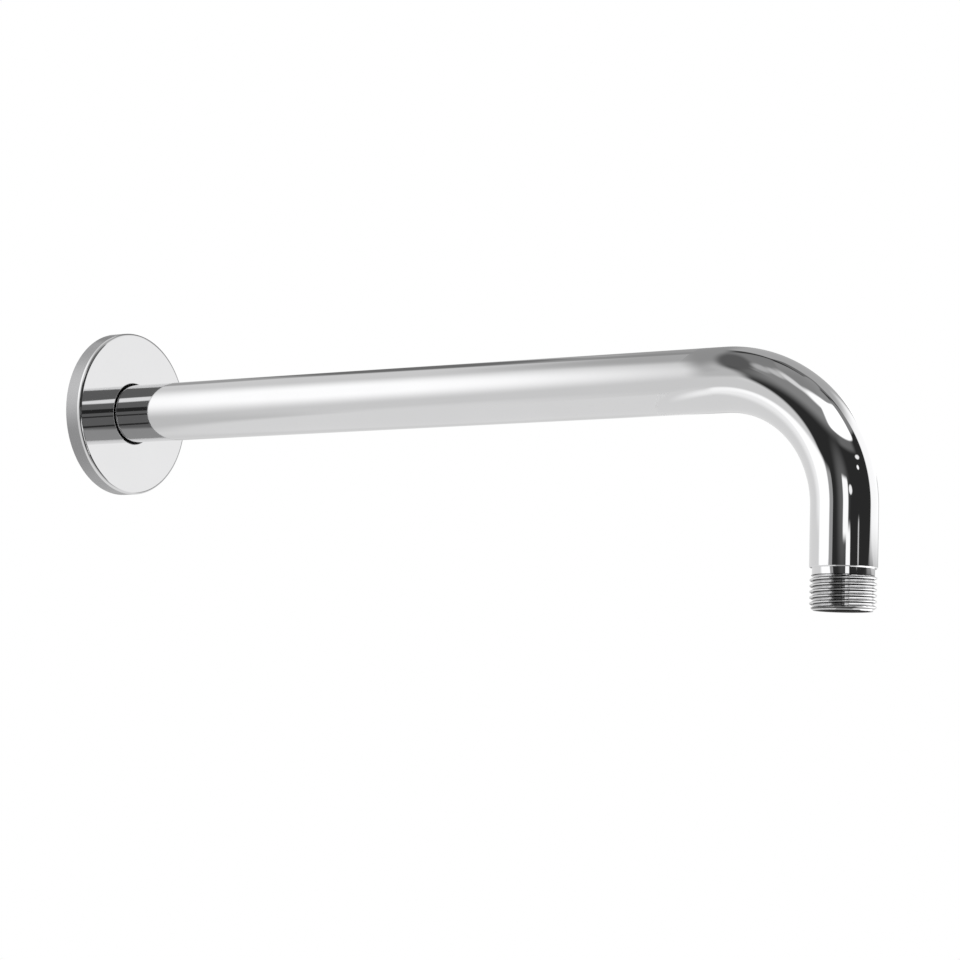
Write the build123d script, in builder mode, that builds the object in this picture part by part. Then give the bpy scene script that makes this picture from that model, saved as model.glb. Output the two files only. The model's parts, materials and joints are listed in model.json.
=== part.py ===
"""Wall shower arm: a bent chrome pipe, threaded at both ends, and a slip-on flange that hides the wall hole.

Frame, in millimetres: the origin is on the inlet axis in the plane of the finished wall, +X points out of
the wall along the arm, +Z is up, and the outlet points straight down.
"""

import os

from build123d import *

# Pipe
PIPE_OD = 21.3
PIPE_BORE = 16.0
PROJECTION = 300.0  # wall plane to outlet axis
OUTLET_DROP = 74.7  # inlet axis to the outlet's end face
BEND_RADIUS = 42.5  # of the centre line
WALL_ENTRY = 0.5  # plain pipe behind the wall plane

# Half-inch parallel pipe thread, on a turned land at each end of the pipe
THREAD_MAJOR_OD = 20.955
INLET_LAND = 13.5
OUTLET_LAND = 11.1
LAND_LEAD_IN = 1.2  # chamfer at the pipe's end
LAND_RUN_OUT = 0.7  # chamfer towards the neck
NECK_OD = 19.5
NECK_LENGTH = 2.2
SHOULDER_BREAK = 0.3
BORE_BREAK = 0.5

# Wall flange
FLANGE_OD = 60.0
FLANGE_DEPTH = 6.7
FLANGE_WALL = 1.6
FLANGE_EDGE_ROUND = 1.2
FLANGE_HOLE = 22.5
HOLE_EDGE_BREAK = 0.4
HUB_OD = 31.0
HUB_SETBACK = 0.8  # the hub stands clear of the wall, so that only the rim meets it
HUB_LEAD_IN = 0.5

# Moulded rubber ring that grips the pipe
RING_GRIP_ID = 21.4
RING_THICKNESS = 2.4
RING_WIDTH = 2.8
RING_BEVEL = 0.6
GROOVE_WIDTH = 3.2
GROOVE_LIP = 1.7  # flange front to the groove

# Places along the pipe
inlet_shoulder = -WALL_ENTRY
inlet_end = inlet_shoulder - NECK_LENGTH - INLET_LAND
bend_start = PROJECTION - BEND_RADIUS
outlet_end = -OUTLET_DROP
outlet_shoulder = outlet_end + OUTLET_LAND + NECK_LENGTH

# Places in the flange
groove_radius = RING_GRIP_ID / 2 + RING_THICKNESS
groove_front = FLANGE_DEPTH - GROOVE_LIP
groove_back = groove_front - GROOVE_WIDTH
front_wall_back = FLANGE_DEPTH - FLANGE_WALL
rim_inner_radius = FLANGE_OD / 2 - FLANGE_WALL


# Bent pipe, turned down at each end to a thread land and a neck
with BuildPart() as arm_pipe:
    with BuildLine(Plane.XZ):
        straight_run = Line((inlet_end, 0), (bend_start, 0))
        bend = JernArc(straight_run @ 1, straight_run % 1, BEND_RADIUS, -90)
        Line(bend @ 1, (PROJECTION, outlet_end))
    with BuildSketch(Plane.YZ.offset(inlet_end)):
        Circle(PIPE_OD / 2)
        Circle(PIPE_BORE / 2, mode=Mode.SUBTRACT)
    sweep()

    # What the lathe takes off: local x is the radius, local y runs from the shoulder to the pipe's end
    inlet_turning = Plane((inlet_shoulder, 0, 0), x_dir=(0, 0, 1), z_dir=(0, -1, 0))
    outlet_turning = Plane((PROJECTION, 0, outlet_shoulder), x_dir=(1, 0, 0), z_dir=(0, 1, 0))
    for turning, land in ((inlet_turning, INLET_LAND), (outlet_turning, OUTLET_LAND)):
        turned_length = NECK_LENGTH + land
        with BuildSketch(turning):
            with BuildLine():
                Polyline(
                    (PIPE_OD, 0),
                    (NECK_OD / 2, 0),
                    (NECK_OD / 2, NECK_LENGTH),
                    (THREAD_MAJOR_OD / 2, NECK_LENGTH + LAND_RUN_OUT),
                    (THREAD_MAJOR_OD / 2, turned_length - LAND_LEAD_IN),
                    (THREAD_MAJOR_OD / 2 - LAND_LEAD_IN, turned_length),
                    (PIPE_OD, turned_length),
                    close=True,
                )
            make_face()
        revolve(axis=Axis(turning.origin, turning.y_dir), mode=Mode.SUBTRACT)

    circles = arm_pipe.edges().filter_by(GeomType.CIRCLE)
    pipe_circles = circles.filter_by(lambda circle: circle.radius == PIPE_OD / 2)
    chamfer([pipe_circles.sort_by(Axis.X)[0], pipe_circles.sort_by(Axis.Z)[0]], SHOULDER_BREAK)
    end_faces = [arm_pipe.faces().sort_by(Axis.X)[0], arm_pipe.faces().sort_by(Axis.Z)[0]]
    chamfer([face.edges().sort_by(SortBy.RADIUS)[0] for face in end_faces], BORE_BREAK)

arm_pipe.part.label = "arm_pipe"


# Round cover: a front wall and rim, with a hub that holds the rubber ring
with BuildPart() as wall_flange:
    with BuildSketch(Plane.XZ):
        with BuildLine():
            Polyline(
                (0, FLANGE_OD / 2),
                (FLANGE_DEPTH, FLANGE_OD / 2),
                (FLANGE_DEPTH, FLANGE_HOLE / 2),
                (HUB_SETBACK, FLANGE_HOLE / 2),
                (HUB_SETBACK, HUB_OD / 2),
                (front_wall_back, HUB_OD / 2),
                (front_wall_back, rim_inner_radius),
                (0, rim_inner_radius),
                close=True,
            )
        make_face()
    revolve(axis=Axis.X)

    front_circles = wall_flange.edges().filter_by(GeomType.CIRCLE).group_by(Axis.X)[-1]
    hole_edge, outer_edge = front_circles.sort_by(SortBy.RADIUS)
    fillet(outer_edge, FLANGE_EDGE_ROUND)
    chamfer(hole_edge, HOLE_EDGE_BREAK)
    hub_back = wall_flange.faces().filter_by(Axis.X).sort_by(Axis.X)[1]
    chamfer(hub_back.edges().sort_by(SortBy.RADIUS)[0], HUB_LEAD_IN)

    with BuildSketch(Plane.YZ.offset(groove_back)):
        Circle(groove_radius)
    extrude(amount=GROOVE_WIDTH, mode=Mode.SUBTRACT)

wall_flange.part.label = "wall_flange"


# Rubber ring, seated on the bottom of the hub's groove
with BuildPart() as flange_grip_ring:
    with BuildSketch(Plane.XZ) as ring_section:
        with Locations(((groove_back + groove_front) / 2, groove_radius - RING_THICKNESS / 2)):
            Rectangle(RING_WIDTH, RING_THICKNESS)
        chamfer(ring_section.vertices(), RING_BEVEL)
    revolve(axis=Axis.X)

flange_grip_ring.part.label = "flange_grip_ring"


os.makedirs("parts", exist_ok=True)
export_step(arm_pipe.part, "parts/arm_pipe.step")
export_step(wall_flange.part, "parts/wall_flange.step")
export_step(flange_grip_ring.part, "parts/flange_grip_ring.step")
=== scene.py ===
"""Wall shower arm in a white studio: a bent chrome pipe with threaded ends and a slip-on wall flange."""

import json
import math

import bmesh
import bpy
from mathutils import Matrix, Quaternion, Vector


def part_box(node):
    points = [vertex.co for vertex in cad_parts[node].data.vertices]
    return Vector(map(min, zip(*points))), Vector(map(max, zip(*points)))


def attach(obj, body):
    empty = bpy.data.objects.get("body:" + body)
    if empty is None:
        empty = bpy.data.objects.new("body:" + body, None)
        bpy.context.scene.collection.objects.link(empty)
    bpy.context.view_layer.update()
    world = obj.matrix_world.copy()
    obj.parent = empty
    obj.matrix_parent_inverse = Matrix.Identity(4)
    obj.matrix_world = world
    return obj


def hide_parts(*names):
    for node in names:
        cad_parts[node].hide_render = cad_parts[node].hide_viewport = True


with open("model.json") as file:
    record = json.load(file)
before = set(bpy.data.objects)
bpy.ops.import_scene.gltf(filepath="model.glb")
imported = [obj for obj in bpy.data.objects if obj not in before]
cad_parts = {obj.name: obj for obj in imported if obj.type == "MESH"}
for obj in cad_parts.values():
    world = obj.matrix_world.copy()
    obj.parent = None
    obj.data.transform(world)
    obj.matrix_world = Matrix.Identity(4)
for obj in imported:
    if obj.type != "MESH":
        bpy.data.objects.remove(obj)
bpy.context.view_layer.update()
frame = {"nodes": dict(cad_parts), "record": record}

MM = 0.001
WELD = 0.01 * MM
SHARP_ANGLE = math.radians(35)

# Pipe
PIPE_RADIUS = 10.65 * MM
BORE_RADIUS = 8.0 * MM
BEND_RADIUS = 42.5 * MM
NECK_RADIUS = 9.75 * MM
NECK_LENGTH = 2.2 * MM
SHOULDER_BREAK = 0.3 * MM
BORE_BREAK = 0.5 * MM

# Half-inch parallel pipe thread, right-handed, with a rounded 55 degree form
THREAD_PITCH = 25.4 / 14 * MM
THREAD_FLANK = math.radians(27.5)
THREAD_TRUNCATION = 1 / 6  # share of the sharp form that the rounding takes off each crest and root
THREAD_ROUND_STEPS = 6
SPARE_HALF_TURNS = 3  # cut past each end, then pressed flat
THREAD_LEAD_IN = 1.2 * MM
THREAD_RUN_OUT = 0.7 * MM
# Depths below the crest between which the painted shade on the flanks sets in, and ends towards the root
CREST_SHADE = (0.4 * MM, 0.2 * MM)
ROOT_SHADE = (1.0 * MM, 0.8 * MM)

# Wall flange
FLANGE_WALL = 1.6 * MM
FLANGE_EDGE_ROUND = 1.2 * MM
FLANGE_BACK_ROUND = 0.2 * MM
FLANGE_HOLE_RADIUS = 11.25 * MM
HOLE_EDGE_ROUND = 0.4 * MM
HUB_RADIUS = 15.5 * MM
HUB_SETBACK = 0.8 * MM
HUB_LEAD_IN = 0.5 * MM
GROOVE_LIP = 1.7 * MM
GROOVE_WIDTH = 3.2 * MM

# Fineness of the meshes
ROUND_STEPS = 160
RUN_STEPS = 80
BEND_STEPS = 72
LEG_STEPS = 12
FLANGE_STEPS = 256
EDGE_STEPS = 6
HOLDING_STEP = 0.05 * MM
LONG_STRETCH = 0.5 * MM
DOME_STEPS = 96

# Places on the frame
arm_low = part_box("arm_pipe")[0]
flange_low, flange_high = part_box("wall_flange")
ring_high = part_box("flange_grip_ring")[1]
mounts = {mount["name"]: mount for mount in frame["record"]["mounts"]}
thread_radius = mounts["outlet_thread"]["dims"]["r_mm"] * MM
crest_edge = [thread_radius - depth for depth in CREST_SHADE]
root_edge = [thread_radius - depth for depth in ROOT_SHADE]
inlet_end = arm_low.x
outlet_end = arm_low.z
outlet_axis = mounts["outlet_thread"]["pos_m"][0]
bend_start = outlet_axis - BEND_RADIUS
flange_back = flange_low.x
flange_front = flange_high.x
flange_radius = flange_high.z


# Mesh helpers

def finish_piece(bm, name, body, node, materials):
    """Makes a closed mesh of the bmesh and lets it stand for its node on the body that carries it."""
    bmesh.ops.remove_doubles(bm, verts=bm.verts, dist=WELD)
    bmesh.ops.recalc_face_normals(bm, faces=bm.faces)
    mesh = bpy.data.meshes.new(name)
    bm.to_mesh(mesh)
    bm.free()
    mesh.shade_smooth()
    mesh.set_sharp_from_angle(angle=SHARP_ANGLE)
    for material in materials:
        mesh.materials.append(material)
    piece = bpy.data.objects.new(name, mesh)
    bpy.context.scene.collection.objects.link(piece)
    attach(piece, body)
    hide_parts(node)


def round_corner(bm, corner, size):
    """Rounds one corner of a profile that is still a wire."""
    bmesh.ops.bevel(
        bm,
        geom=[corner],
        offset=size,
        offset_type="OFFSET",
        affect="VERTICES",
        segments=EDGE_STEPS,
        profile=0.5,
        material=-1,
    )


def hold_flat(bm):
    """Puts a point near both ends of each long stretch of a profile, so that it is shaded flat."""
    for stretch in [edge for edge in bm.edges if edge.calc_length() > LONG_STRETCH]:
        for corner in stretch.verts[:]:
            bmesh.utils.edge_split(stretch, corner, HOLDING_STEP / stretch.calc_length())


def turn_to(bm, loop, radius, height):
    """Carries an open round loop on to a new radius and height about the Z axis."""
    made = bmesh.ops.extrude_edge_only(bm, edges=loop)["geom"]
    verts = [item for item in made if isinstance(item, bmesh.types.BMVert)]
    change = radius / verts[0].co.xy.length
    rise = height - verts[0].co.z
    bmesh.ops.scale(bm, verts=verts, vec=(change, change, 1))
    bmesh.ops.translate(bm, verts=verts, vec=(0, 0, rise))
    return open_loop(bm, height)


def open_loop(bm, height):
    """The open edges that lie at one height."""
    return [
        edge
        for edge in bm.edges
        if edge.is_boundary and all(abs(vert.co.z - height) < WELD for vert in edge.verts)
    ]


# Arm

def thread(start, end):
    """A thread about the Z axis, from the neck's end to the pipe's end face, faded out at both."""
    sharp_height = THREAD_PITCH / (2 * math.tan(THREAD_FLANK))
    middle_radius = thread_radius - sharp_height * (0.5 - THREAD_TRUNCATION)
    taken_off = sharp_height * THREAD_TRUNCATION
    rounding = taken_off / (2 * math.cos(THREAD_FLANK) * (1 - math.sqrt(0.5)))
    bm = bmesh.new()
    corners = []
    half_turns = 2 * math.ceil((end - start) / THREAD_PITCH) + 2 * SPARE_HALF_TURNS
    for count in range(half_turns):
        radius = middle_radius + sharp_height / 2 * (-1) ** count
        height = start + (count - SPARE_HALF_TURNS) / 2 * THREAD_PITCH
        corners.append(bm.verts.new((radius, 0, height)))
    for pair in zip(corners, corners[1:]):
        bm.edges.new(pair)
    bmesh.ops.bevel(
        bm,
        geom=corners[1:-1],
        offset=rounding,
        offset_type="OFFSET",
        affect="VERTICES",
        segments=THREAD_ROUND_STEPS,
        profile=0.5,
        material=-1,
    )
    flanks = [edge for edge in bm.edges if edge.calc_length() > rounding]
    bmesh.ops.subdivide_edges(bm, edges=flanks, cuts=2)
    bmesh.ops.spin(
        bm,
        geom=bm.verts[:] + bm.edges[:],
        cent=(0, 0, 0),
        axis=(0, 0, 1),
        dvec=(0, 0, THREAD_PITCH / ROUND_STEPS),
        angle=math.tau,
        steps=ROUND_STEPS,
    )
    run_out_slope = (thread_radius - NECK_RADIUS) / THREAD_RUN_OUT
    for vert in bm.verts:
        vert.co.z = min(max(vert.co.z, start), end)
        from_neck = vert.co.z - start
        from_end = end - vert.co.z
        lowest = NECK_RADIUS - from_neck
        highest = min(
            thread_radius,
            NECK_RADIUS + from_neck * run_out_slope,
            thread_radius - THREAD_LEAD_IN + from_end,
        )
        radius = vert.co.xy.length
        vert.co.xy *= min(max(radius, lowest), highest) / radius
    bmesh.ops.remove_doubles(bm, verts=bm.verts, dist=WELD)
    return bm


def threaded_end(land, plated_slot, thread_slot, bore_slot):
    """One pipe end about the Z axis, from the shoulder at zero to the end face and the bore's mouth."""
    end = NECK_LENGTH + THREAD_RUN_OUT + land + THREAD_LEAD_IN
    bm = thread(NECK_LENGTH, end)
    threaded = set(bm.faces)
    neck = turn_to(bm, open_loop(bm, NECK_LENGTH), NECK_RADIUS, 0)
    shoulder = turn_to(bm, neck, PIPE_RADIUS - SHOULDER_BREAK, 0)
    turn_to(bm, shoulder, PIPE_RADIUS, -SHOULDER_BREAK)
    end_face = turn_to(bm, open_loop(bm, end), BORE_RADIUS + BORE_BREAK, end)
    plated = set(bm.faces) - threaded
    turn_to(bm, end_face, BORE_RADIUS, end - BORE_BREAK)
    mouth = set(bm.faces) - threaded - plated
    for faces, slot in ((threaded, thread_slot), (plated, plated_slot), (mouth, bore_slot)):
        for face in faces:
            face.material_index = slot
    return bm, end


def pipe_wall(bm, radius, start, end):
    """The wall of the bent pipe, from a place on the inlet's axis to a place on the outlet's axis."""
    ring = bmesh.ops.create_circle(
        bm,
        segments=ROUND_STEPS,
        radius=radius,
        matrix=Matrix.Translation((start, 0, 0)) @ Matrix.Rotation(math.pi / 2, 4, "Y"),
    )["verts"]
    ring += {edge for vert in ring for edge in vert.link_edges}
    run_step = (bend_start - start) / RUN_STEPS
    leg_step = (end + BEND_RADIUS) / LEG_STEPS
    bend_centre = (bend_start, 0, -BEND_RADIUS)
    across = (0, 1, 0)
    ring = bmesh.ops.spin(
        bm, geom=ring, axis=across, dvec=(run_step, 0, 0), angle=0, steps=RUN_STEPS
    )["geom_last"]
    ring = bmesh.ops.spin(
        bm, geom=ring, cent=bend_centre, axis=across, angle=math.pi / 2, steps=BEND_STEPS
    )["geom_last"]
    bmesh.ops.spin(bm, geom=ring, axis=across, dvec=(0, 0, leg_step), angle=0, steps=LEG_STEPS)


def build_arm(chrome, bore_shade_material, inlet_thread, outlet_thread):
    """The bent pipe with its bore, and a threaded end at the wall and at the outlet."""
    materials = (chrome, bore_shade_material, inlet_thread, outlet_thread)
    plated_slot = materials.index(chrome)
    bore_slot = materials.index(bore_shade_material)
    bm = bmesh.new()
    pipe_wall(bm, BORE_RADIUS, inlet_end + BORE_BREAK, outlet_end + BORE_BREAK)
    for face in bm.faces:
        face.material_index = bore_slot
    ends = []
    for mount_name, metal in (("wall_thread", inlet_thread), ("outlet_thread", outlet_thread)):
        land = mounts[mount_name]["dims"]["length_mm"] * MM
        ends.append(threaded_end(land, plated_slot, materials.index(metal), bore_slot))
    (inlet_bm, inlet_length), (outlet_bm, outlet_length) = ends
    inlet_shoulder = inlet_end + inlet_length
    outlet_shoulder = outlet_end + outlet_length
    pipe_wall(bm, PIPE_RADIUS, inlet_shoulder + SHOULDER_BREAK, outlet_shoulder + SHOULDER_BREAK)
    to_wall = Matrix.Translation((inlet_shoulder, 0, 0)) @ Matrix.Rotation(-math.pi / 2, 4, "Y")
    to_floor = Matrix.Translation((outlet_axis, 0, outlet_shoulder)) @ Matrix.Rotation(math.pi, 4, "X")
    for end_bm, place in ((inlet_bm, to_wall), (outlet_bm, to_floor)):
        end_bm.transform(place)
        end_mesh = bpy.data.meshes.new("threaded_end")
        end_bm.to_mesh(end_mesh)
        end_bm.free()
        bm.from_mesh(end_mesh)
        bpy.data.meshes.remove(end_mesh)
    finish_piece(bm, "bent_pipe", "arm", "arm_pipe", materials)


# Flange

def build_flange(chrome, rim_chrome):
    """The round cover, spun from its section: front wall, rim, and a hub with the rubber ring's groove."""
    materials = (chrome, rim_chrome)
    front_wall_back = flange_front - FLANGE_WALL
    rim_inner_radius = flange_radius - FLANGE_WALL
    hub_back = flange_back + HUB_SETBACK
    groove_front = flange_front - GROOVE_LIP
    groove_back = groove_front - GROOVE_WIDTH
    groove_radius = ring_high.z
    section = (
        (flange_back, flange_radius, FLANGE_BACK_ROUND),
        (flange_front, flange_radius, FLANGE_EDGE_ROUND),
        (flange_front, FLANGE_HOLE_RADIUS, HOLE_EDGE_ROUND),
        (groove_front, FLANGE_HOLE_RADIUS, 0),
        (groove_front, groove_radius, 0),
        (groove_back, groove_radius, 0),
        (groove_back, FLANGE_HOLE_RADIUS, 0),
        (hub_back, FLANGE_HOLE_RADIUS, HUB_LEAD_IN),
        (hub_back, HUB_RADIUS, FLANGE_BACK_ROUND),
        (front_wall_back, HUB_RADIUS, 0),
        (front_wall_back, rim_inner_radius, 0),
        (flange_back, rim_inner_radius, FLANGE_BACK_ROUND),
    )
    bm = bmesh.new()
    corners = [bm.verts.new((along, 0, radius)) for along, radius, rounding in section]
    for pair in zip(corners, corners[1:] + corners[:1]):
        bm.edges.new(pair)
    for corner, (along, radius, rounding) in zip(corners, section):
        if rounding:
            round_corner(bm, corner, rounding)
    hold_flat(bm)
    bmesh.ops.spin(
        bm,
        geom=bm.verts[:] + bm.edges[:],
        axis=(1, 0, 0),
        angle=math.tau,
        steps=FLANGE_STEPS,
        use_merge=True,
    )
    for face in bm.faces:
        middle = face.calc_center_median()
        outside = middle.yz.length > flange_radius - FLANGE_BACK_ROUND
        if outside and middle.x < flange_front - FLANGE_EDGE_ROUND:
            face.material_index = materials.index(rim_chrome)
    finish_piece(bm, "slip_on_flange", "flange", "wall_flange", materials)


# Materials

NOISE_RANGE = (0.3, 0.7)  # where nearly all of the noise lies


def add_node(tree, kind, inputs, **settings):
    """Adds a shader node; an input is a value or another node's output."""
    node = tree.nodes.new(kind)
    for name, value in settings.items():
        setattr(node, name, value)
    for name, value in inputs.items():
        if isinstance(value, bpy.types.NodeSocket):
            tree.links.new(value, node.inputs[name])
        else:
            node.inputs[name].default_value = value
    return node


def new_material(name):
    """An empty node material with its output node."""
    material = bpy.data.materials.new(name)
    material.use_nodes = True
    tree = material.node_tree
    tree.nodes.clear()
    return material, tree, tree.nodes.new("ShaderNodeOutputMaterial")


def math_node(tree, operation, *terms):
    """The result of one sum on values or outputs."""
    return add_node(tree, "ShaderNodeMath", dict(enumerate(terms)), operation=operation).outputs[0]


def fade_out(tree, value, full, gone):
    """One up to the first value, none from the second on, and a soft change between."""
    inputs = {"Value": value, "From Min": full, "From Max": gone, "To Min": 1.0, "To Max": 0.0}
    node = add_node(tree, "ShaderNodeMapRange", inputs, interpolation_type="SMOOTHSTEP")
    return node.outputs["Result"]


def between(tree, share, first, second):
    """A number between two numbers."""
    return add_node(tree, "ShaderNodeMix", {0: share, 2: first, 3: second}, data_type="FLOAT").outputs[0]


def noise(tree, coordinates, scale, detail=2.0):
    """Soft random variation, with its scale in waves to the metre."""
    inputs = {"Vector": coordinates, "Scale": scale, "Detail": detail}
    return add_node(tree, "ShaderNodeTexNoise", inputs).outputs["Fac"]


def spread(tree, value, lowest, highest):
    """Noise brought to a range of values."""
    low, high = NOISE_RANGE
    inputs = {"Value": value, "From Min": low, "From Max": high, "To Min": lowest, "To Max": highest}
    return add_node(tree, "ShaderNodeMapRange", inputs).outputs["Result"]


def blend(tree, share, first, second):
    """A colour between two colours."""
    inputs = {0: share, 6: (*first, 1), 7: (*second, 1)}
    return add_node(tree, "ShaderNodeMix", inputs, data_type="RGBA").outputs[2]


def polished_chrome():
    """Bright plating: a mirror with a breath of haze and the faint waviness that polishing leaves."""
    material, tree, output = new_material("polished_chrome")
    place = add_node(tree, "ShaderNodeTexCoord", {}).outputs["Object"]
    haze = noise(tree, place, 60, 4)
    waviness = noise(tree, place, 90)
    bump = add_node(
        tree, "ShaderNodeBump", {"Height": waviness, "Strength": 1.0, "Distance": 0.001 * MM}
    )
    shader = add_node(
        tree,
        "ShaderNodeBsdfPrincipled",
        {
            "Base Color": blend(tree, haze, (0.71, 0.71, 0.715), (0.735, 0.735, 0.74)),
            "Metallic": 1.0,
            "Roughness": spread(tree, haze, 0.02, 0.045),
            "Normal": bump.outputs["Normal"],
        },
    )
    tree.links.new(shader.outputs["BSDF"], output.inputs["Surface"])
    return material


def threaded_chrome(name, centre, across):
    """Plating on a thread about one axis: bright on crests and roots, with painted shade that darkens the
    flanks.
    """
    material, tree, output = new_material(name)
    place = add_node(tree, "ShaderNodeTexCoord", {}).outputs["Object"]
    flat = add_node(tree, "ShaderNodeMapping", {"Vector": place, "Location": centre, "Scale": across})
    outward = add_node(tree, "ShaderNodeVectorMath", {0: flat.outputs["Vector"]}, operation="LENGTH")
    # Painted shade: between crest and root the flanks are darkened to near black, in a patchy strength.
    below_crest = fade_out(tree, outward.outputs["Value"], *crest_edge)
    below_flank = fade_out(tree, outward.outputs["Value"], *root_edge)
    flank = math_node(tree, "SUBTRACT", below_crest, below_flank)
    shade_patchiness = spread(tree, noise(tree, place, 700, 4), 0.9, 1.0)
    shade = math_node(tree, "MULTIPLY", flank, shade_patchiness)
    shader = add_node(
        tree,
        "ShaderNodeBsdfPrincipled",
        {
            "Base Color": blend(tree, shade, (0.72, 0.72, 0.725), (0.1, 0.1, 0.1)),
            "Metallic": 1.0,
            "Roughness": between(tree, shade, 0.05, 0.15),
        },
    )
    tree.links.new(shader.outputs["BSDF"], output.inputs["Surface"])
    return material


def satin_chrome_with_painted_shade():
    """Plating over the fine rings that the lathe left round the flange's rim, with painted shade that keeps
    it darker than the polished chrome.
    """
    material, tree, output = new_material("satin_chrome_with_painted_shade")
    place = add_node(tree, "ShaderNodeTexCoord", {}).outputs["Object"]
    along = add_node(tree, "ShaderNodeSeparateXYZ", {"Vector": place}).outputs["X"]
    rings = add_node(
        tree, "ShaderNodeTexNoise", {"W": along, "Scale": 6000.0, "Detail": 3.0}, noise_dimensions="1D"
    ).outputs["Fac"]
    bump = add_node(tree, "ShaderNodeBump", {"Height": rings, "Strength": 0.4, "Distance": 0.004 * MM})
    shader = add_node(
        tree,
        "ShaderNodeBsdfPrincipled",
        {
            # Painted shade: the rim's base colour is about half that of the polished chrome.
            "Base Color": blend(tree, rings, (0.36, 0.36, 0.365), (0.41, 0.41, 0.415)),
            "Metallic": 1.0,
            "Roughness": spread(tree, rings, 0.2, 0.3),
            "Normal": bump.outputs["Normal"],
        },
    )
    tree.links.new(shader.outputs["BSDF"], output.inputs["Surface"])
    return material


def bore_with_painted_shade():
    """The dull, unplated inside of the drawn pipe, painted near black as the shade deep in the bore."""
    material, tree, output = new_material("bore_with_painted_shade")
    place = add_node(tree, "ShaderNodeTexCoord", {}).outputs["Object"]
    unevenness = noise(tree, place, 250, 5)
    shader = add_node(
        tree,
        "ShaderNodeBsdfPrincipled",
        {
            # Painted shade: near black, standing for the shade deep inside the bore.
            "Base Color": blend(tree, unevenness, (0.02, 0.019, 0.018), (0.05, 0.048, 0.045)),
            "Specular IOR Level": 0.2,
            "Roughness": spread(tree, unevenness, 0.6, 0.8),
        },
    )
    tree.links.new(shader.outputs["BSDF"], output.inputs["Surface"])
    return material


def moulded_rubber():
    """Matt black rubber with a fine moulded grain."""
    material, tree, output = new_material("moulded_rubber")
    place = add_node(tree, "ShaderNodeTexCoord", {}).outputs["Object"]
    grain = noise(tree, place, 2500, 3)
    bump = add_node(tree, "ShaderNodeBump", {"Height": grain, "Strength": 0.5, "Distance": 0.05 * MM})
    shader = add_node(
        tree,
        "ShaderNodeBsdfPrincipled",
        {
            "Base Color": blend(tree, grain, (0.022, 0.022, 0.022), (0.038, 0.038, 0.038)),
            "Roughness": spread(tree, grain, 0.6, 0.8),
            "Normal": bump.outputs["Normal"],
        },
    )
    tree.links.new(shader.outputs["BSDF"], output.inputs["Surface"])
    return material


# Studio

STUDIO_CENTRE = Vector((150, 0, 0)) * MM
STUDIO_RADIUS = 350 * MM
BOOTH_CENTRE = Vector((300, 0, -45)) * MM
BOOTH_RADIUS = 75 * MM

# How square a panel is, as the power in the formula of its outline
ROUND = 2
ROUNDED = 4
SQUARE = 8
OPENING = None  # stands in place of a brightness

# Panels that show only in reflections, each laid over the ones before it. Azimuth runs from the camera's
# side, -Y, towards +X. Angles are in degrees, softness is a share of the half size, and an opening is clear.
STUDIO_CARDS = (
    # panel, middle (azimuth, elevation), half size, corners, softness, brightness
    ("left_wall", (-85, 15), (76, 60), SQUARE, 0.1, 0.78),
    ("ceiling", (0, 90), (400, 28), SQUARE, 0.6, 0.5),
    ("back_wall", (152, 0), (25, 40), SQUARE, 0.4, 1.1),
    ("right_wall", (72, 5), (65, 75), SQUARE, 0.1, 0.18),
    ("low_right", (105, -60), (60, 13), SQUARE, 0.3, 0.45),
    ("dark_slot", (25, 9), (14, 7), SQUARE, 0.4, 0.03),
    ("dark_line", (25, -11), (14, 2.5), SQUARE, 0.6, 0.04),
    ("dark_line_low", (35, -45), (12, 3), SQUARE, 0.5, 0.04),
    ("dark_panel", (88, 0), (45, 40), SQUARE, 0.1, 0.04),
    ("left_shade", (-133, 36), (16, 22), ROUND, 0.8, 0.18),
    ("top_shade", (-145, 60), (18, 12), ROUND, 0.8, 0.35),
    ("top_edge_shade", (-160, 38), (10, 20), SQUARE, 0.5, 0.4),
    ("wall_end_shade", (-115, 27), (10, 9), ROUND, 0.8, 0.4),
    ("low_left", (-92, -52), (64, 20), SQUARE, 0.6, 0.88),
    ("low_wall_shade", (-72, -24), (18, 10), SQUARE, 0.8, 0.68),
    ("low_shade", (-92, -8), (30, 6), SQUARE, 0.6, 0.42),
    ("left_softbox", (-48, 24), (27, 25), ROUND, 1.3, 1.36),
    ("streak_lamp", (31, 46), (9, 9), ROUND, 0.6, 1.3),
    ("edge_shade", (184, 0), (11, 32), SQUARE, 0.3, 0.3),
)

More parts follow.
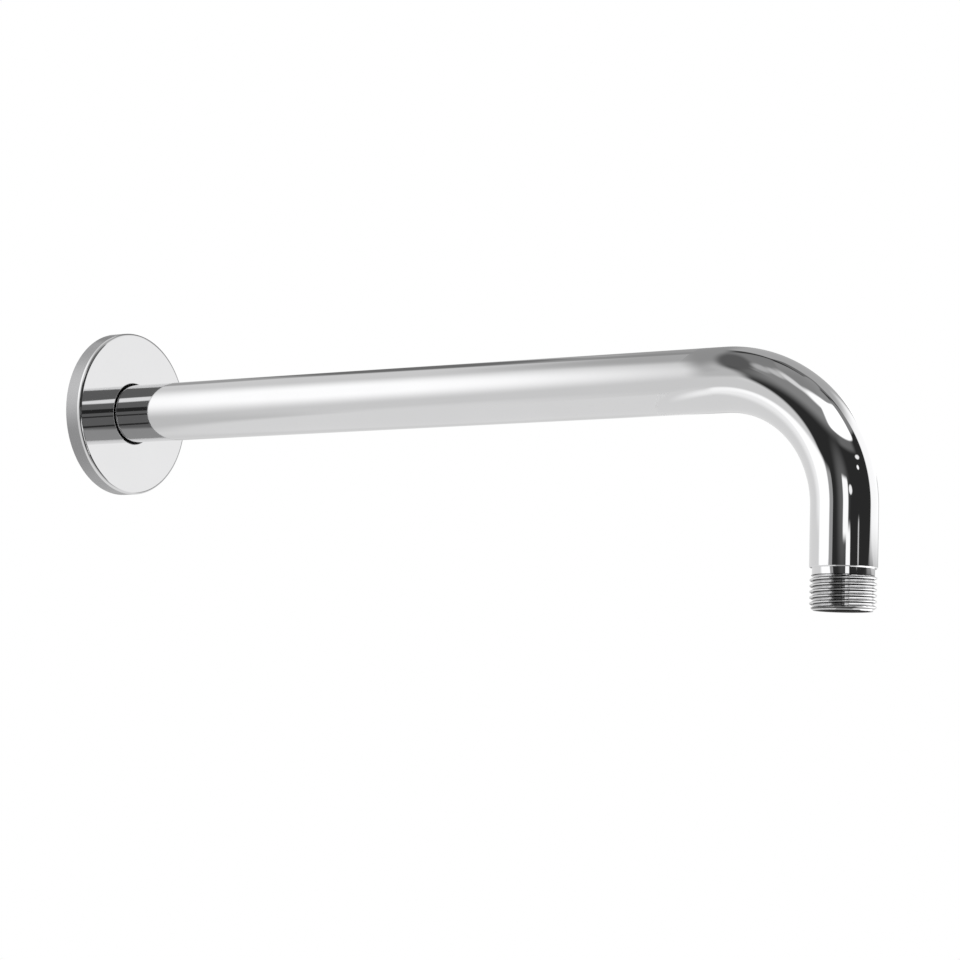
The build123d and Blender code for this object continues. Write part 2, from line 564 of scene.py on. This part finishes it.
# A small booth round the bend, open towards the wall
BOOTH_CARDS = (
    ("back_wall", (195, 35), (77, 48), ROUNDED, 0.04, 0.5),
    ("thread_back", (192, 30), (22, 12), SQUARE, 0.3, 2.0),
    ("back_softbox", (147, 28), (31, 34), SQUARE, 0.6, 1.3),
    ("dark_lining", (16, 41), (103, 53), SQUARE, 0.03, 0.03),
    ("ceiling", (0, 90), (400, 5), SQUARE, 0.3, 0.35),
    ("front_ceiling", (12, 76), (92, 21), SQUARE, 0.04, 0.34),
    ("ceiling_corner", (-69, 63), (14, 8), SQUARE, 0.2, 0.27),
    ("front_wall", (-10, 66), (45, 18), SQUARE, 0.9, 0.3),
    ("key_glow", (60, 49), (24, 6), SQUARE, 0.8, 0.18),
    ("front_strip", (-26, 68.5), (22, 3), ROUND, 1.0, 0.9),
    ("key_left", (34, 70), (42, 6), ROUND, 0.6, 1.4),
    ("key_softbox", (59, 63), (37, 12.5), SQUARE, 0.15, 1.5),
    ("key_edge", (107, 66), (12, 11), SQUARE, 0.3, 0.28),
    ("wall_side", (-97, 3), (73, 50), ROUND, 0.1, OPENING),
    ("tip_fade", (-62, 43), (10, 5), ROUND, 1.0, 0.62),
    ("tip_shade", (-88, 50), (18, 6), SQUARE, 1.0, 0.36),
    ("tip_dark", (-68, 55), (13, 5), ROUND, 0.6, 0.13),
    ("strip_tail", (-54, 60.5), (8, 2.5), ROUND, 1.0, 0.55),
    ("strip_middle", (-44, 64.5), (10, 2.5), ROUND, 1.0, 0.65),
    ("low_fill", (-99, 1), (37, 23), SQUARE, 0.3, 0.85),
    ("low_glow", (-58, 9), (15, 7), ROUND, 1.4, 1.15),
    ("low_softbox", (-40, 4), (19, 15), SQUARE, 0.3, 1.4),
    ("low_edge", (-15.5, 3), (5.5, 15), SQUARE, 0.3, 0.42),
    ("thread_fill", (106, -32), (59, 18.5), SQUARE, 0.05, 2.0),
    ("thread_floor", (170, -60), (60, 20), SQUARE, 0.4, 2.0),
    ("window_glow", (23, 13), (16, 22), ROUND, 1.2, 0.15),
    ("window", (30, 10), (8, 12), SQUARE, 0.3, 1.35),
    ("window_low", (39, -14), (6.5, 15), SQUARE, 0.3, 1.35),
    ("window_side", (46, 16), (5, 3), ROUND, 0.5, 1.2),
    ("strip_lamp", (72, -3), (2, 6), SQUARE, 0.5, 0.7),
    ("spot_low", (81, 32.5), (4, 1.5), ROUND, 0.6, 1.4),
    ("spot_high", (88, 39.5), (8, 1.5), ROUND, 0.6, 1.2),
)

FLOOR_HEIGHT = -1.0
FLOOR_RADIUS = 5.0
FLOOR_FADE = 1.5
FLOOR_COLOUR = (0.88, 0.88, 0.88)


def card_cover(tree, angles, middle, half, corners, softness):
    """How far a panel covers a place on its dome, from 1 inside to 0 outside, soft across the edge."""
    powers = []
    for angle, middle_angle, half_angle in zip(angles, middle, half):
        aside = math_node(tree, "SUBTRACT", angle, math.radians(middle_angle))
        shortest = math_node(tree, "WRAP", aside, math.pi, -math.pi)
        share = math_node(tree, "DIVIDE", math_node(tree, "ABSOLUTE", shortest), math.radians(half_angle))
        powers.append(math_node(tree, "POWER", share, corners))
    outward = math_node(tree, "POWER", math_node(tree, "ADD", *powers), 1 / corners)
    return fade_out(tree, outward, 1 - softness / 2, 1 + softness / 2)


def studio_dome(name, centre, radius, cards):
    """A dome round the object, painted with soft panels of light that only reflections see."""
    material, tree, output = new_material(name)
    place = add_node(tree, "ShaderNodeTexCoord", {}).outputs["Object"]
    outward = add_node(tree, "ShaderNodeVectorMath", {0: place}, operation="NORMALIZE").outputs["Vector"]
    split = add_node(tree, "ShaderNodeSeparateXYZ", {"Vector": outward}).outputs
    ahead = math_node(tree, "MULTIPLY", split["Y"], -1.0)
    azimuth = math_node(tree, "ARCTAN2", split["X"], ahead)
    elevation = math_node(tree, "ARCSINE", split["Z"])
    glow = 0.0
    clear = 1.0
    for panel, middle, half, corners, softness, brightness in cards:
        cover = card_cover(tree, (azimuth, elevation), middle, half, corners, softness)
        glow = between(tree, cover, glow, brightness or 0.0)
        clear = between(tree, cover, clear, 1.0 if brightness is OPENING else 0.0)
    light = add_node(tree, "ShaderNodeEmission", {"Strength": glow}).outputs["Emission"]
    gap = add_node(tree, "ShaderNodeBsdfTransparent", {"Color": clear}).outputs["BSDF"]
    both = add_node(tree, "ShaderNodeAddShader", {0: light, 1: gap}).outputs["Shader"]
    tree.links.new(both, output.inputs["Surface"])
    bm = bmesh.new()
    bmesh.ops.create_uvsphere(bm, u_segments=DOME_STEPS, v_segments=DOME_STEPS // 2, radius=radius)
    mesh = bpy.data.meshes.new(name)
    bm.to_mesh(mesh)
    bm.free()
    mesh.shade_smooth()
    mesh.materials.append(material)
    dome = bpy.data.objects.new(name, mesh)
    dome.location = centre
    dome.visible_camera = False
    dome.visible_diffuse = False
    dome.visible_shadow = False
    bpy.context.scene.collection.objects.link(dome)


def pale_floor():
    """A wide pale floor well below the arm, which fades into the white round it."""
    material, tree, output = new_material("pale_floor")
    place = add_node(tree, "ShaderNodeTexCoord", {}).outputs["Object"]
    outward = add_node(tree, "ShaderNodeVectorMath", {0: place}, operation="LENGTH").outputs["Value"]
    cover = fade_out(tree, outward, FLOOR_RADIUS - FLOOR_FADE, FLOOR_RADIUS)
    clear = add_node(tree, "ShaderNodeBsdfTransparent", {}).outputs["BSDF"]
    pale = add_node(tree, "ShaderNodeBsdfDiffuse", {"Color": (*FLOOR_COLOUR, 1)}).outputs["BSDF"]
    mix = add_node(tree, "ShaderNodeMixShader", {0: cover, 1: clear, 2: pale})
    tree.links.new(mix.outputs["Shader"], output.inputs["Surface"])
    bm = bmesh.new()
    bmesh.ops.create_circle(bm, cap_ends=True, segments=ROUND_STEPS, radius=FLOOR_RADIUS)
    mesh = bpy.data.meshes.new("pale_floor")
    bm.to_mesh(mesh)
    bm.free()
    mesh.materials.append(material)
    floor = bpy.data.objects.new("pale_floor", mesh)
    floor.location = (STUDIO_CENTRE.x, STUDIO_CENTRE.y, FLOOR_HEIGHT)
    bpy.context.scene.collection.objects.link(floor)


def white_world():
    """Even white light from all round, which is also the background."""
    world = bpy.data.worlds.new("white_studio")
    world.use_nodes = True
    background = world.node_tree.nodes["Background"]
    background.inputs["Color"].default_value = (1, 1, 1, 1)
    background.inputs["Strength"].default_value = 1.0
    bpy.context.scene.world = world


# Camera, fitted to the photograph's outlines

CAMERA_AZIMUTH = math.radians(33.92)
CAMERA_ELEVATION = math.radians(-5.65)
CAMERA_ROLL = math.radians(1.68)
CAMERA_DISTANCE = 926.4 * MM
CAMERA_AIM = Vector((167.57, -7.12, -30.38)) * MM
CAMERA_LENS = 103.12
SENSOR_WIDTH = 36.0


def photograph_camera():
    """The camera at the photograph's viewing angle."""
    back = Vector(
        (
            math.sin(CAMERA_AZIMUTH) * math.cos(CAMERA_ELEVATION),
            -math.cos(CAMERA_AZIMUTH) * math.cos(CAMERA_ELEVATION),
            math.sin(CAMERA_ELEVATION),
        )
    )
    lens = bpy.data.cameras.new("photograph_camera")
    lens.lens = CAMERA_LENS
    lens.sensor_width = SENSOR_WIDTH
    camera = bpy.data.objects.new("photograph_camera", lens)
    camera.location = CAMERA_AIM + back * CAMERA_DISTANCE
    camera.rotation_mode = "QUATERNION"
    level = (-back).to_track_quat("-Z", "Y")
    camera.rotation_quaternion = level @ Quaternion((0, 0, 1), CAMERA_ROLL)
    bpy.context.scene.collection.objects.link(camera)
    bpy.context.scene.camera = camera


chrome = polished_chrome()
inlet_thread = threaded_chrome("inlet_thread_chrome", (0, 0, 0), (0, 1, 1))
outlet_thread = threaded_chrome("outlet_thread_chrome", (-outlet_axis, 0, 0), (1, 1, 0))
build_arm(chrome, bore_with_painted_shade(), inlet_thread, outlet_thread)
build_flange(chrome, satin_chrome_with_painted_shade())
for ring_slot in frame["nodes"]["flange_grip_ring"].material_slots:
    ring_slot.material = moulded_rubber()

white_world()
pale_floor()
studio_dome("studio_dome", STUDIO_CENTRE, STUDIO_RADIUS, STUDIO_CARDS)
studio_dome("bend_booth", BOOTH_CENTRE, BOOTH_RADIUS, BOOTH_CARDS)
photograph_camera()
bpy.context.scene.view_settings.view_transform = "Standard"
